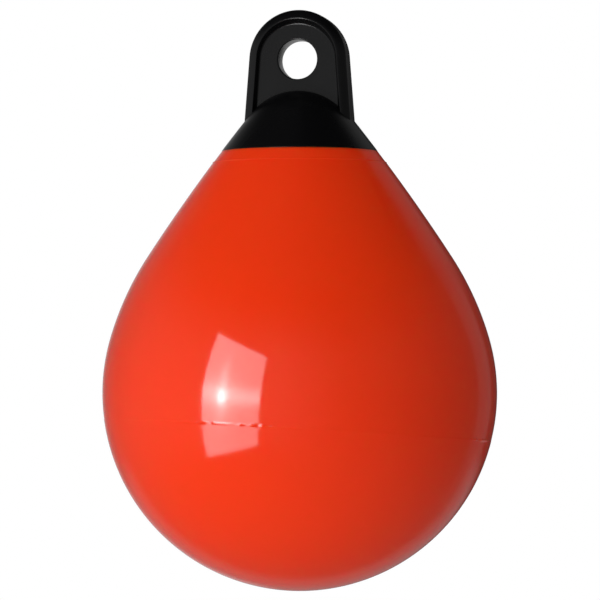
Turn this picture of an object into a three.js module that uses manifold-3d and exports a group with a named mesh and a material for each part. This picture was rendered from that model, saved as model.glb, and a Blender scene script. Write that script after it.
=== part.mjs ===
// Ball fender: an inflatable pear-shaped buoy of soft PVC with a moulded rope eye at its neck.
//
// Millimetres, +Z up. The origin is the centre of the eye's hole, which runs along Y.
// The front is -Y, and the inflation valve is at the back, on the slope of the cap.
//
// The outside is one smooth outline. From the bottom it is the ball, then a shoulder arc, then a nearly
// straight flank, then the crown of the cap. The ball and the cap meet flush on the flank, and the neck
// of the ball fills the hollow under the cap, as the two colours of PVC are moulded onto each other.

import * as THREE from "three";
import { mergeVertices } from "three/addons/utils/BufferGeometryUtils.js";
import Module from "manifold-3d";

const wasm = await Module();
wasm.setup();

const radians = THREE.MathUtils.degToRad;

// Outline of the ball and the cap, by arcs that run smoothly into each other.
// An angle on the outline is that of its outward normal above the horizontal.
const ballRadius = 100;
const shoulderRadius = 154;
const flankRadius = 932;
const crownRadius = 32;
const shoulderAngle = radians(16);
const flankAngle = radians(33);

// Seam between the two colours, and the lap joint under the cap.
const capEdgeRadius = 39.6;
const capWall = 5;
const neckRadius = 40;
const collarHeight = 4.3;
const collarStep = 0.25;
const seamGap = 0.3;

// Rope eye: an upright plate with a round head, a rim along its outline and a thinner web inside it.
const holeRadius = 10;
const holeEdgeRound = 1.2;
const holeToCrown = 15.4;
const eyeHeadRadius = 25;
const eyeSideTaper = radians(4.2);
const eyeEdgeRound = 2.2;
const eyeRootDepth = 20;
const webThickness = 12;
const rimWidth = 4.6;
const rimHeight = 3;
const rimDraft = radians(1.2);
const rimEdgeRound = 0.8;
const webFillet = 2.2;

// Inflation valve, let into a round boss on the slope of the cap.
const valveFromEdge = 14;
const bossRadius = 9.4;
const bossHeight = 1.2;
const flangeRadius = 7.6;
const flangeThickness = 1.8;
const barrelRadius = 6;
const barrelLength = 9.5;
const airPassage = 3;
const screwHeadRadius = 4.3;
const screwHeadThickness = 2;
const screwHeadRound = 0.4;
const screwShankRadius = 2.1;
const screwShankLength = 6.5;
const slotWidth = 1.1;
const slotDepth = 1.1;
const sealThickness = 1;
const valveGap = 0.3;

// Fineness of the round surfaces, how far a cut runs past the face that it opens, and the distance at
// which two corners are one.
const roundSteps = 64;
const smallRoundSteps = 32;
const ballSteps = 20;
const shoulderSteps = 4;
const flankSteps = 4;
const crownSteps = 7;
const eyeHeadSteps = 30;
const edgeSteps = 3;
const cutPast = 2;
const weldDistance = 1e-4;

// Centres of the outline's arcs, from the centre of the ball.
const ballCentre = new THREE.Vector2(0, 0);
const shoulderCentre = pointOn(ballCentre, ballRadius - shoulderRadius, shoulderAngle);
const flankCentre = pointOn(shoulderCentre, shoulderRadius - flankRadius, flankAngle);
const crown = domeUnderFlank(0, crownRadius);
const hollow = domeUnderFlank(capWall, neckRadius);
const neck = domeUnderFlank(capWall + seamGap, neckRadius - seamGap);

const capEdgeAngle = Math.acos((capEdgeRadius - flankCentre.x) / flankRadius);
const ballEdgeAngle = capEdgeAngle - seamGap / flankRadius;
const collarAngle = ballEdgeAngle - collarHeight / flankRadius;
const ballCentreZ = -(holeToCrown + crown.centre.y + crownRadius);

const webHalf = webThickness / 2;
const rimFace = webHalf + rimHeight;
const eyeRootZ = -(holeToCrown + eyeRootDepth);

// Levels of the valve along its own axis, from the slope of the cap.
const flangeSeat = bossHeight - flangeThickness;
const barrelEnd = flangeSeat - barrelLength;
const screwHeadSeat = bossHeight - screwHeadThickness;
const sealTop = screwHeadSeat - valveGap;
const sealSeat = sealTop - sealThickness - valveGap;
const shankBore = screwShankRadius + valveGap;
const headBore = screwHeadRadius + valveGap;

function pointOn(centre, radius, angle) {
  return new THREE.Vector2(
    centre.x + radius * Math.cos(angle),
    centre.y + radius * Math.sin(angle),
  );
}

function arc(centre, radius, from, to, steps) {
  return Array.from({ length: steps + 1 }, (_, i) =>
    pointOn(centre, radius, from + ((to - from) * i) / steps),
  );
}

function onFlank(depth, angle) {
  return pointOn(flankCentre, flankRadius - depth, angle);
}

// The dome on the axis that closes the flank, or a surface at a depth under it, without a break.
function domeUnderFlank(depth, radius) {
  const toCentre = flankRadius - depth - radius;
  const angle = Math.acos(-flankCentre.x / toCentre);
  return { depth, radius, angle, centre: pointOn(flankCentre, toCentre, angle) };
}

// The outline from an angle on the flank up to the top of a dome.
function flankAndDome(dome, from) {
  return [
    ...arc(flankCentre, flankRadius - dome.depth, from, dome.angle, flankSteps),
    ...arc(dome.centre, dome.radius, dome.angle, Math.PI / 2, crownSteps).slice(1),
  ];
}

// A solid of revolution about Y. Its profile of (radius, height) runs anticlockwise, and it starts and
// ends on the axis or closes on itself.
function revolve(profile, steps = roundSteps) {
  const points = profile.map((point) => {
    const radius = point.x < weldDistance ? 0 : point.x;
    return new THREE.Vector2(radius, point.y);
  });
  return new THREE.LatheGeometry(points, steps);
}

// The same about Z, from [radius, height] pairs.
function turned(profile) {
  const points = profile.map(([radius, height]) => new THREE.Vector2(radius, height));
  return revolve(points, smallRoundSteps).rotateX(Math.PI / 2);
}

function onFenderAxis(geometry) {
  return geometry.rotateX(Math.PI / 2).translate(0, 0, ballCentreZ);
}

function solid(geometry) {
  const bare = new THREE.BufferGeometry();
  bare.setAttribute("position", geometry.getAttribute("position"));
  bare.setIndex(geometry.getIndex());
  const merged = mergeVertices(bare, weldDistance);
  const mesh = new wasm.Mesh({
    numProp: 3,
    vertProperties: merged.attributes.position.array,
    triVerts: new Uint32Array(merged.index.array),
  });
  return new wasm.Manifold(mesh);
}

function geometryOf(body) {
  const mesh = body.getMesh();
  const shared = new THREE.BufferGeometry();
  shared.setAttribute("position", new THREE.BufferAttribute(mesh.vertProperties, 3));
  shared.setIndex(new THREE.BufferAttribute(mesh.triVerts, 1));
  const geometry = shared.toNonIndexed();
  geometry.computeVertexNormals();
  return geometry;
}

function piece(name, body, colour, roughness, metalness) {
  const material = new THREE.MeshStandardMaterial({ color: colour, roughness, metalness });
  const mesh = new THREE.Mesh(geometryOf(body), material);
  mesh.name = name;
  return mesh;
}

// The ball, with its neck, as the closed and inflated shell that it is from outside.
function ballSolid() {
  const flank = arc(flankCentre, flankRadius, flankAngle, collarAngle, flankSteps);
  const outline = [
    ...arc(ballCentre, ballRadius, -Math.PI / 2, shoulderAngle, ballSteps),
    ...arc(shoulderCentre, shoulderRadius, shoulderAngle, flankAngle, shoulderSteps).slice(1),
    ...flank.slice(1),
    onFlank(collarStep, collarAngle),
    onFlank(collarStep, ballEdgeAngle),
    ...flankAndDome(neck, ballEdgeAngle),
  ];
  return solid(onFenderAxis(revolve(outline)));
}

// The outside of the cap, filled. Its rim is square to the flank.
function capBlank() {
  const rimEnd = onFlank(capWall + cutPast, capEdgeAngle);
  const outline = [
    new THREE.Vector2(0, rimEnd.y),
    rimEnd,
    ...flankAndDome(crown, capEdgeAngle),
  ];
  return solid(onFenderAxis(revolve(outline)));
}

function capHollow() {
  const below = capEdgeAngle - (capWall + cutPast) / flankRadius;
  const upward = flankAndDome(hollow, below);
  const outline = [new THREE.Vector2(0, upward[0].y), ...upward];
  return solid(onFenderAxis(revolve(outline)));
}

// Half of the eye's outline is a round head, and its sides part slowly on the way down to the root.
// The inset moves the whole outline inwards.
function eyeOutline(inset, rootZ) {
  const radius = eyeHeadRadius - inset;
  const rootHalfWidth = radius / Math.cos(eyeSideTaper) - rootZ * Math.tan(eyeSideTaper);
  return [
    new THREE.Vector2(rootHalfWidth, rootZ),
    ...arc(new THREE.Vector2(), radius, eyeSideTaper, Math.PI - eyeSideTaper, eyeHeadSteps),
    new THREE.Vector2(-rootHalfWidth, rootZ),
  ];
}

// A solid through outlines of the eye at levels from front to back. A level with a draft leans away from
// the middle of the plate on the way down, so that the rim is thicker at the root.
function eyeLoft(levels, rootZ) {
  const outlines = levels.map(({ y, inset, draft }) =>
    eyeOutline(inset, rootZ).map((point) => [
      point.x,
      y + Math.sign(y) * (eyeHeadRadius - point.y) * Math.tan(draft),
      point.y,
    ]),
  );
  const count = outlines[0].length;
  const last = (levels.length - 1) * count;
  const index = [];
  for (let start = 0; start < last; start += count) {
    for (let i = 0; i < count; i += 1) {
      const a = start + i;
      const b = start + ((i + 1) % count);
      index.push(a, a + count, b, b, a + count, b + count);
    }
  }
  for (let i = 1; i + 1 < count; i += 1) {
    index.push(0, i, i + 1, last, last + i + 1, last + i);
  }
  const geometry = new THREE.BufferGeometry();
  geometry.setAttribute("position", new THREE.Float32BufferAttribute(outlines.flat(2), 3));
  geometry.setIndex(index);
  return solid(geometry);
}

// Levels of one side of the plate, from the middle outwards, turned into those of the front.
function toFront(levels) {
  return levels.map((level) => ({ ...level, y: -level.y })).reverse();
}

// The full plate of the eye, with rounded outer edges.
function eyePlate() {
  const edgeCentre = new THREE.Vector2(eyeEdgeRound, rimFace - eyeEdgeRound);
  const back = arc(edgeCentre, eyeEdgeRound, Math.PI, Math.PI / 2, edgeSteps).map((point) => ({
    y: point.y,
    inset: point.x,
    draft: rimDraft,
  }));
  return eyeLoft([...toFront(back), ...back], eyeRootZ);
}

// What is taken from each face of the plate: it leaves a flat web, a fillet and a rounded rim.
function eyePockets() {
  const filletCentre = new THREE.Vector2(rimWidth + webFillet, webHalf + webFillet);
  const fillet = arc(filletCentre, webFillet, -Math.PI / 2, -Math.PI, edgeSteps);
  const roundCentre = new THREE.Vector2(rimWidth - rimEdgeRound, rimFace - rimEdgeRound);
  const round = arc(roundCentre, rimEdgeRound, 0, Math.PI / 2, edgeSteps);
  const rimLevels = round.map((point) => ({ y: point.y, inset: point.x, draft: rimDraft }));
  const back = [
    ...fillet.map((point) => ({ y: point.y, inset: point.x, draft: 0 })),
    ...rimLevels,
    { y: rimFace + cutPast, inset: rimLevels[edgeSteps].inset, draft: rimDraft },
  ];
  const rootZ = eyeRootZ - cutPast;
  return eyeLoft(back, rootZ).add(eyeLoft(toFront(back), rootZ));
}

// The rope's way through the web, with rounded edges.
function ropeHole() {
  const edgeCentre = new THREE.Vector2(holeRadius + holeEdgeRound, webHalf - holeEdgeRound);
  const upper = arc(edgeCentre, holeEdgeRound, Math.PI, Math.PI / 2, edgeSteps);
  const end = new THREE.Vector2(edgeCentre.x, webHalf + cutPast);
  const half = [...upper, end, new THREE.Vector2(0, end.y)];
  const lower = half.map((point) => new THREE.Vector2(point.x, -point.y)).reverse();
  return solid(revolve([...lower, ...half], smallRoundSteps));
}

// The valve's own place: its axis is square to the slope, and its zero level lies on the slope.
function valvePlace() {
  const angle = capEdgeAngle + valveFromEdge / flankRadius;
  const point = onFlank(0, angle);
  const place = new THREE.Group();
  place.position.set(0, point.x, point.y + ballCentreZ);
  place.rotation.x = angle - Math.PI / 2;
  place.updateMatrix();
  return place;
}

// The boss starts halfway through the wall of the cap.
function valveBoss() {
  return turned([
    [0, -capWall / 2],
    [bossRadius, -capWall / 2],
    [bossRadius, bossHeight],
    [0, bossHeight],
  ]);
}

// The stepped hole for the valve through the cap and into the neck, and the air's way at its end.
function valvePocket() {
  const end = barrelEnd - valveGap;
  return turned([
    [0, end - airPassage],
    [shankBore, end - airPassage],
    [shankBore, end],
    [barrelRadius + valveGap, end],
    [barrelRadius + valveGap, flangeSeat - valveGap],
    [flangeRadius + valveGap, flangeSeat - valveGap],
    [flangeRadius + valveGap, bossHeight + cutPast],
    [0, bossHeight + cutPast],
  ]);
}

function valveBody() {
  const outside = turned([
    [0, barrelEnd],
    [barrelRadius, barrelEnd],
    [barrelRadius, flangeSeat],
    [flangeRadius, flangeSeat],
    [flangeRadius, bossHeight],
    [0, bossHeight],
  ]);
  const bore = turned([
    [0, barrelEnd - cutPast],
    [shankBore, barrelEnd - cutPast],
    [shankBore, sealSeat],
    [headBore, sealSeat],
    [headBore, bossHeight + cutPast],
    [0, bossHeight + cutPast],
  ]);
  return solid(outside).subtract(solid(bore));
}

function valveSeal() {
  const sealBottom = sealTop - sealThickness;
  return solid(turned([
    [shankBore, sealBottom],
    [screwHeadRadius, sealBottom],
    [screwHeadRadius, sealTop],
    [shankBore, sealTop],
    [shankBore, sealBottom],
  ]));
}

function valveScrew() {
  const screw = turned([
    [0, screwHeadSeat - screwShankLength],
    [screwShankRadius, screwHeadSeat - screwShankLength],
    [screwShankRadius, screwHeadSeat],
    [screwHeadRadius, screwHeadSeat],
    [screwHeadRadius, bossHeight - screwHeadRound],
    [screwHeadRadius - screwHeadRound, bossHeight],
    [0, bossHeight],
  ]);
  const slotHeight = slotDepth + cutPast;
  const slot = new THREE.BoxGeometry(2 * (screwHeadRadius + cutPast), slotWidth, slotHeight);
  slot.translate(0, 0, bossHeight - slotDepth + slotHeight / 2);
  return solid(screw).subtract(solid(slot));
}

const valve = valvePlace();
const boss = solid(valveBoss().applyMatrix4(valve.matrix));
const pocket = solid(valvePocket().applyMatrix4(valve.matrix));
const eye = eyePlate().subtract(eyePockets()).subtract(ropeHole());

const ball = ballSolid().subtract(pocket);
const cap = capBlank().add(eye).subtract(capHollow()).add(boss).subtract(pocket);

valve.add(
  piece("valve_body", valveBody(), 0x232427, 0.5, 0),
  piece("valve_seal", valveSeal(), 0x141414, 0.8, 0),
  piece("valve_screw", valveScrew(), 0xc9c8c2, 0.45, 0),
);

const fender = new THREE.Group();
fender.name = "ball_fender";
fender.add(piece("ball_body", ball, 0xe83c20, 0.25, 0), piece("eye_cap", cap, 0x1a1a1c, 0.4, 0), valve);

export default fender;
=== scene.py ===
"""Ball fender: the finished look of an inflatable pear-shaped buoy with a moulded rope eye.

The packed model is the fixed frame. Each solid in it is replaced by a finer piece of the same size: the
red ball with its parting line, the black eye cap with its rounded edges, and the parts of the air valve.
All lengths are in metres, +Z is up, and the origin is the centre of the eye's hole.
"""

import functools
import math

import bpy
import numpy as np
from bpy.props import FloatProperty, FloatVectorProperty, PointerProperty
from bpy.types import Operator, Panel, PropertyGroup
from mathutils import Matrix, Vector


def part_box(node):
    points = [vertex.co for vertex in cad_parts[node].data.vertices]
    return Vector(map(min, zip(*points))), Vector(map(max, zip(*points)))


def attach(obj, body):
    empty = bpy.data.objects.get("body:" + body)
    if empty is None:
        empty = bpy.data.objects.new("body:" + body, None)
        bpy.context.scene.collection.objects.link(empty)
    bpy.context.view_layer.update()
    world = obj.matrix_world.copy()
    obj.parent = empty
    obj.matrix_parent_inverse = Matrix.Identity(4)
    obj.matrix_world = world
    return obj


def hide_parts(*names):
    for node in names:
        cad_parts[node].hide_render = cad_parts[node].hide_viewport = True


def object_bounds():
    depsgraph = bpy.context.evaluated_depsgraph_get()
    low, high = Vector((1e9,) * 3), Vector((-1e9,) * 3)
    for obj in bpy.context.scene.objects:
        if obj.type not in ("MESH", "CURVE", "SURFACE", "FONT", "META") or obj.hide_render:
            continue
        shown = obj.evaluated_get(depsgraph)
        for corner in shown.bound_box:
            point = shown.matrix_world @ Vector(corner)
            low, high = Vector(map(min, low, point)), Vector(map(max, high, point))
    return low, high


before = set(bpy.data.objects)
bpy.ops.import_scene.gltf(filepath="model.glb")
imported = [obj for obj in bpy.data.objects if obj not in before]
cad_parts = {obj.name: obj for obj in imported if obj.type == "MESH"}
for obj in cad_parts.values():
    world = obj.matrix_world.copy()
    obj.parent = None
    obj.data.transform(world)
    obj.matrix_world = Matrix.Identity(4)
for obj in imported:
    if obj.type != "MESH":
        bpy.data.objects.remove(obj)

bl_info = {
    "name": "Ball Fender",
    "version": (1, 0, 0),
    "blender": (4, 5, 0),
    "location": "View3D > Sidebar > Fender",
    "description": "Builds a ball fender and its studio around a packed model",
    "category": "Add Mesh",
}

CAD_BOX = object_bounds()
BALL_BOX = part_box("ball_body")
CAP_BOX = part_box("eye_cap")
BALL_RADIUS = (BALL_BOX[1].x - BALL_BOX[0].x) / 2
BALL_CENTRE_Z = BALL_BOX[0].z + BALL_RADIUS
CAP_EDGE_RADIUS = (CAP_BOX[1].x - CAP_BOX[0].x) / 2
EYE_HEAD_RADIUS = CAP_BOX[1].z
BODY = "root"
TAU = 2 * math.pi
MM = 0.001

BALL_COLUMNS = 720
ROUND_STEPS = 192
SMALL_ROUND_STEPS = 96
EYE_HEAD_STEPS = 120
OUTLINE_STEPS = 1200
CUT_PAST = 2 * MM

# Even rows of the ball's skin below the parting line and above it.
ROWS_BELOW = 37
ROWS_ABOVE = 45

# Rows to either side of the parting line, how the flash falls off there, and how far the mismatch of the
# halves reaches up and down from the line, all in half widths of the flash.
FLASH_ROWS = np.array([0.2, 0.45, 0.75, 1.1, 1.6, 2.4, 4])
FLASH_FALL = 1.6
FLASH_POWER = 1.5
MISMATCH_ABOVE = 14
MISMATCH_BELOW = 0.3

# Rows of the bead, down from the ring under the cap, the place where the even rows stop, and the bead's
# half width.
BEAD_ROWS = np.array([1.5, 1.1, 0.8, 0.6, 0.45, 0.32, 0.2, 0.1, 0]) * MM
BEAD_START = 2 * MM
BEAD_WIDTH = 0.35 * MM

# Rise of the parting line for each metre towards +X and towards +Y.
PARTING_SLOPE = (-0.0437, -0.0740)

# Strength of the flash all round, how much it varies, and its least and greatest strength.
FLASH_LEVEL = 0.22
FLASH_VARIATION = 0.14
FLASH_LEAST, FLASH_MOST = -0.6, 2.8

# Where the flash stands out more or less, in long stretches, short nicks and ragged stretches: azimuth and
# half width in degrees, and what it adds to the strength.
FLASH_STRETCHES = (
    (-114, 7, 0.5), (-101, 12, 0.9), (-84, 7, 0.7), (-12, 7, 2.2), (62, 16, 0.6), (160, 20, 0.7),
)
FLASH_NICKS = (
    (-105.8, 0.9, 0.8), (-103.6, 0.6, -0.9), (-96.4, 0.5, -0.6), (-94.6, 0.8, 1.0), (-93.0, 0.5, -1.3),
    (-91.6, 0.8, 1.6), (-90.2, 0.5, -1.4), (-88.8, 0.7, 1.4), (-14.5, 1.0, -1.0), (-11.0, 1.6, 1.4),
    (148, 0.8, 1.1),
)
FLASH_RAGGED = ((-104, 4, 1.6), (-91.5, 4.5, 2.6), (-13, 8, 2.2), (152, 12, 1.2))


def length(name, default, description):
    return FloatProperty(
        name=name, default=default, description=description, min=0.0, precision=5, unit="LENGTH"
    )


def angle(name, degrees, description):
    return FloatProperty(
        name=name, default=math.radians(degrees), description=description, subtype="ANGLE"
    )


def colour(name, default, description):
    return FloatVectorProperty(
        name=name, default=default, description=description, subtype="COLOR", min=0.0, max=1.0
    )


def number(name, default, description):
    return FloatProperty(name=name, default=default, description=description)


class FenderOutline(PropertyGroup):
    """Arcs of the outline that the ball and the cap share."""

    ball_radius: length("Ball radius", BALL_RADIUS, "Radius of the round lower part")
    shoulder_radius: length("Shoulder radius", 0.154, "Radius of the arc above the ball")
    flank_radius: length("Flank radius", 0.932, "Radius of the nearly straight flank")
    crown_radius: length("Crown radius", 0.032, "Radius of the dome under the eye")
    shoulder_angle: angle("Shoulder angle", 16, "Slope at which the shoulder starts")
    flank_angle: angle("Flank angle", 33, "Slope at which the flank starts")
    cap_edge_radius: length("Cap edge radius", CAP_EDGE_RADIUS, "Radius of the colour boundary")
    cap_wall: length("Cap wall", 0.005, "Wall of the cap over the neck")
    neck_radius: length("Neck radius", 0.040, "Radius of the hollow under the cap")
    seam_gap: length("Seam gap", 0.00005, "Gap between the ball and the cap's edge")
    neck_gap: length("Neck gap", 0.0003, "Gap between the neck and the hollow of the cap")


class BallDetails(PropertyGroup):
    """Small features of the red ball."""

    collar_height: length("Collar height", 0.0072, "Height of the ring under the cap")
    collar_step: length("Collar step", 0.00012, "How far the ring lies below the flank")
    bead_height: length("Bead height", 0.0002, "Height of the bead along the ring's lower edge")
    parting_drop: length("Parting drop", 0.01920, "Parting line under the middle of the ball")
    flash_height: length("Flash height", 0.00028, "Height of the flash along the parting line")
    flash_width: length("Flash width", 0.00060, "Half width of the flash")
    parting_step: length("Parting step", 0.00010, "Mismatch of the halves at the parting line")
    unevenness: length("Unevenness", 0.00004, "Depth of the skin's long, low waves")


class EyeShape(PropertyGroup):
    """Sizes of the rope eye."""

    head_radius: length("Head radius", EYE_HEAD_RADIUS, "Radius of the eye's round head")
    to_crown: length("To crown", 0.0154, "Drop from the hole's centre to the top of the crown")
    root_depth: length("Root depth", 0.020, "How far the plate runs down into the cap")
    hole_radius: length("Hole radius", 0.010, "Radius of the rope's hole")
    hole_round: length("Hole edge", 0.0007, "Rounding of the hole's edges")
    side_taper: angle("Side taper", 4.2, "Slope of the eye's sides")
    edge_round: length("Outer edge", 0.0045, "Width of the rounding of the outer edges")
    edge_depth: length("Edge depth", 0.0039, "Depth of that rounding, from front to back")
    edge_lean: number("Edge lean", 1.35, "1 rounds the outer edges as an ellipse, more makes them leaner")
    web_thickness: length("Web", 0.012, "Thickness of the web round the hole")
    rim_width: length("Rim width", 0.0046, "Width of the rim along the outline")
    rim_height: length("Rim height", 0.003, "Height of the rim above the web")
    rim_draft: angle("Rim draft", 1.2, "Slope of the rim's faces")
    rim_round: length("Rim edge", 0.0005, "Rounding of the rim's inner edge")
    rim_slope: length("Rim slope", 0.0009, "Width of the slope from the rim down to the web")
    top_slope: length("Top slope", 0.0020, "Added width of that slope at the top")
    web_fillet: length("Web fillet", 0.0008, "Fillet between rim and web")
    mould_line: length("Mould line", 0.00005, "Height of the mould line on the outer edge")
    lip_round: length("Lip", 0.00018, "Rounding of the cap's lower edge")


class ValveShape(PropertyGroup):
    """Sizes of the air valve at the back."""

    from_edge: length("From edge", 0.014, "Distance up the slope from the cap's edge")
    boss_radius: length("Boss radius", 0.0094, "Radius of the boss")
    boss_height: length("Boss height", 0.0012, "Height of the boss above the slope")
    flange_radius: length("Flange radius", 0.0076, "Radius of the valve's flange")
    flange_thickness: length("Flange", 0.0018, "Thickness of the flange")
    barrel_radius: length("Barrel radius", 0.006, "Radius of the barrel")
    barrel_length: length("Barrel length", 0.0095, "Length of the barrel")
    air_passage: length("Air passage", 0.003, "Length of the hole under the barrel")
    head_radius: length("Head radius", 0.0043, "Radius of the screw's head")
    head_thickness: length("Head", 0.002, "Thickness of the screw's head")
    shank_radius: length("Shank radius", 0.0021, "Radius of the screw's shank")
    shank_length: length("Shank length", 0.0065, "Length of the screw's shank")
    slot_width: length("Slot width", 0.0011, "Width of the screw's slot")
    slot_depth: length("Slot depth", 0.0011, "Depth of the screw's slot")
    seal_thickness: length("Seal", 0.001, "Thickness of the sealing ring")
    gap: length("Gap", 0.0003, "Clearance between the valve's parts")
    edge_round: length("Edges", 0.00025, "Rounding of small edges")


class FenderFinish(PropertyGroup):
    """Colours and gloss of the materials."""

    red: colour("Red PVC", (0.80, 0.042, 0.0055), "Colour of the ball")
    black: colour("Black PVC", (0.0022, 0.0022, 0.0025), "Colour of the cap")
    nylon: colour("Valve nylon", (0.016, 0.016, 0.018), "Colour of the valve's body")
    screw: colour("Screw nylon", (0.55, 0.54, 0.50), "Colour of the valve's screw")
    rubber: colour("Seal rubber", (0.010, 0.010, 0.010), "Colour of the sealing ring")
    glow_depth: length("Glow depth", 0.005, "How far red light travels inside the soft PVC")


class StudioSetup(PropertyGroup):
    """Camera and light."""

    camera_azimuth: angle("Camera azimuth", 11.3, "Turn of the camera towards +X")
    camera_distance: length("Camera distance", 1.3, "Distance of the camera from the axis")
    frame_width: length("Frame width", 0.30474, "Width of the picture at the axis")
    frame_middle: FloatProperty(
        name="Frame middle", default=-0.1218, description="Height of the middle", unit="LENGTH"
    )
    frame_side: length("Frame side", 0.00015, "How far the middle lies beside the axis")
    floor_drop: length("Floor drop", 0.220, "How far the ball hangs above the floor")
    floor: colour("Floor", (0.86, 0.86, 0.86), "Colour of the floor")
    hole_card: number("Hole card", 0.55, "Brightness of the card behind the eye")
    ambient: number("Ambient", 0.38, "Strength of the even light")
    key: number("Key light", 0.68, "Light from the front left, as a share of full light")
    side: number("Side light", 0.10, "Light from the far left, as a share of full light")
    top: number("Top light", 0.22, "Light from above, as a share of full light")
    bounce: number("Bounced light", 0.22, "Light thrown up by a reflector on the floor")


def sizes(group):
    """The values of one group of sizes, as the panel shows them."""
    return getattr(bpy.context.scene, group)


def point_on(centre, radius, turn):
    return np.array([centre[0] + radius * math.cos(turn), centre[1] + radius * math.sin(turn)])


def arc(centre, radius, start, end, steps):
    """Points (radius, height) along an arc."""
    turns = np.linspace(start, end, steps + 1)
    return np.stack([centre[0] + radius * np.cos(turns), centre[1] + radius * np.sin(turns)], axis=1)


class Outline:
    """Works out the fender's outline. An angle on it is that of its outward normal above the level."""

    def __init__(self, shape):
        self.shape = shape
        self.ball = np.array([0.0, BALL_CENTRE_Z])
        inwards = shape.ball_radius - shape.shoulder_radius
        self.shoulder = point_on(self.ball, inwards, shape.shoulder_angle)
        inwards = shape.shoulder_radius - shape.flank_radius
        self.flank = point_on(self.shoulder, inwards, shape.flank_angle)
        self.cap_edge = math.acos((shape.cap_edge_radius - self.flank[0]) / shape.flank_radius)
        self.ball_edge = self.cap_edge - shape.seam_gap / shape.flank_radius

    def on_flank(self, depth, turn):
        return point_on(self.flank, self.shape.flank_radius - depth, turn)

    def along_flank(self, depth, start, end, steps):
        return arc(self.flank, self.shape.flank_radius - depth, start, end, steps)

    def flank_and_dome(self, depth, dome_radius, start, flank_steps, dome_steps):
        """From an angle on the flank, or on a surface under it, up to the top of a dome."""
        to_centre = self.shape.flank_radius - depth - dome_radius
        meet = math.acos(-self.flank[0] / to_centre)
        centre = point_on(self.flank, to_centre, meet)
        rise = self.along_flank(depth, start, meet, flank_steps)
        return np.concatenate([rise, arc(centre, dome_radius, meet, math.pi / 2, dome_steps)[1:]])

    def skin(self, end, steps):
        """From the bottom of the ball up to an angle on the flank."""
        shape = self.shape
        return np.concatenate([
            arc(self.ball, shape.ball_radius, -math.pi / 2, shape.shoulder_angle, steps),
            arc(self.shoulder, shape.shoulder_radius, shape.shoulder_angle, shape.flank_angle, steps)[1:],
            self.along_flank(0, shape.flank_angle, end, steps)[1:],
        ])


def new_object(name, points, faces):
    """A smooth-shaded mesh object from points and faces."""
    mesh = bpy.data.meshes.new(name)
    mesh.from_pydata(np.asarray(points).tolist(), [], faces)
    mesh.validate()
    mesh.shade_smooth()
    made = bpy.data.objects.new(name, mesh)
    bpy.context.scene.collection.objects.link(made)
    return made


def ring_faces(rows, columns):
    """Faces between rings of points, each ring closed on itself, from the lowest ring up."""
    index = np.arange(rows * columns).reshape(rows, columns)
    low, high = index[:-1], index[1:]
    quads = np.stack([low, np.roll(low, -1, 1), np.roll(high, -1, 1), high], axis=-1)
    return quads.reshape(-1, 4).tolist()


def closed_rings(name, rings):
    """A closed body from rings of points between a lowest and a highest point on the axis."""
    rows, columns = rings.shape[:2]
    inner = rings[1:-1].reshape(-1, 3)
    points = np.concatenate([inner, rings[:1, 0], rings[-1:, 0]])
    bottom, top = len(inner), len(inner) + 1
    last = (rows - 3) * columns
    faces = ring_faces(rows - 2, columns)
    for column in range(columns):
        following = (column + 1) % columns
        faces.append((bottom, following, column))
        faces.append((top, last + column, last + following))
    return new_object(name, points, faces)


def turned(name, profile, steps=SMALL_ROUND_STEPS):
    """A body of revolution about Z. Its profile of (radius, height) runs up from axis to axis."""
    profile = np.asarray(profile)
    turns = np.linspace(0, TAU, steps, endpoint=False)
    radius, height = profile[:, :1], profile[:, 1:]
    rings = np.stack([radius * np.cos(turns), radius * np.sin(turns), height + 0 * turns], axis=-1)
    return closed_rings(name, rings)


def rounded(corners, radius, steps=4):
    """A profile whose corners are rounded, apart from its two ends."""
    corners = [np.asarray(corner, float) for corner in corners]
    path = [corners[0]]
    for before, corner, after in zip(corners, corners[1:], corners[2:]):
        towards, onwards = before - corner, after - corner
        room = min(np.linalg.norm(towards), np.linalg.norm(onwards)) * 0.49
        reach = min(radius, room)
        start = corner + towards / np.linalg.norm(towards) * reach
        end = corner + onwards / np.linalg.norm(onwards) * reach
        for step in range(steps + 1):
            share = step / steps
            rest = 1 - share
            path.append(rest ** 2 * start + 2 * share * rest * corner + share ** 2 * end)
    path.append(corners[-1])
    return np.array(path)


def combine(body, tool, operation):
    """Joins the tool to the body or cuts it from the body, and removes the tool."""
    modifier = body.modifiers.new("shape", "BOOLEAN")
    modifier.operation = operation
    modifier.solver = "EXACT"
    modifier.object = tool
    apply_modifiers(body)
    remove(tool)


def apply_modifiers(body):
    depsgraph = bpy.context.evaluated_depsgraph_get()
    shaped = bpy.data.meshes.new_from_object(body.evaluated_get(depsgraph), depsgraph=depsgraph)
    body.modifiers.clear()
    old = body.data
    body.data = shaped
    bpy.data.meshes.remove(old)
    if not len(shaped.polygons):
        raise RuntimeError(f"{body.name} has no faces left")


def remove(body):
    mesh = body.data
    bpy.data.objects.remove(body)
    bpy.data.meshes.remove(mesh)


def sharpen(body, degrees=32):
    """Keeps real edges crisp and shades the rest smoothly."""
    body.data.shade_smooth()
    body.data.set_sharp_from_angle(angle=math.radians(degrees))


def move_mesh(body, matrix):
    body.data.transform(matrix)
    body.data.update()


def finish_piece(piece, node, material):
    """Gives a piece its material and puts it in the place of its solid."""
    piece.data.materials.clear()
    piece.data.materials.append(material)
    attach(piece, BODY)
    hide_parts(node)


def waves(turns, seed, lowest, highest):
    """Smooth, repeating noise round the ball, about 1 at its strongest."""
    random = np.random.default_rng(seed)
    counts = np.arange(lowest, highest + 1)
    strengths = random.normal(size=len(counts))
    phases = random.uniform(0, TAU, len(counts))
    total = (strengths * np.cos(np.multiply.outer(turns, counts) + phases)).sum(-1)
    return total / (1.8 * math.sqrt(len(counts)))


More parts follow.
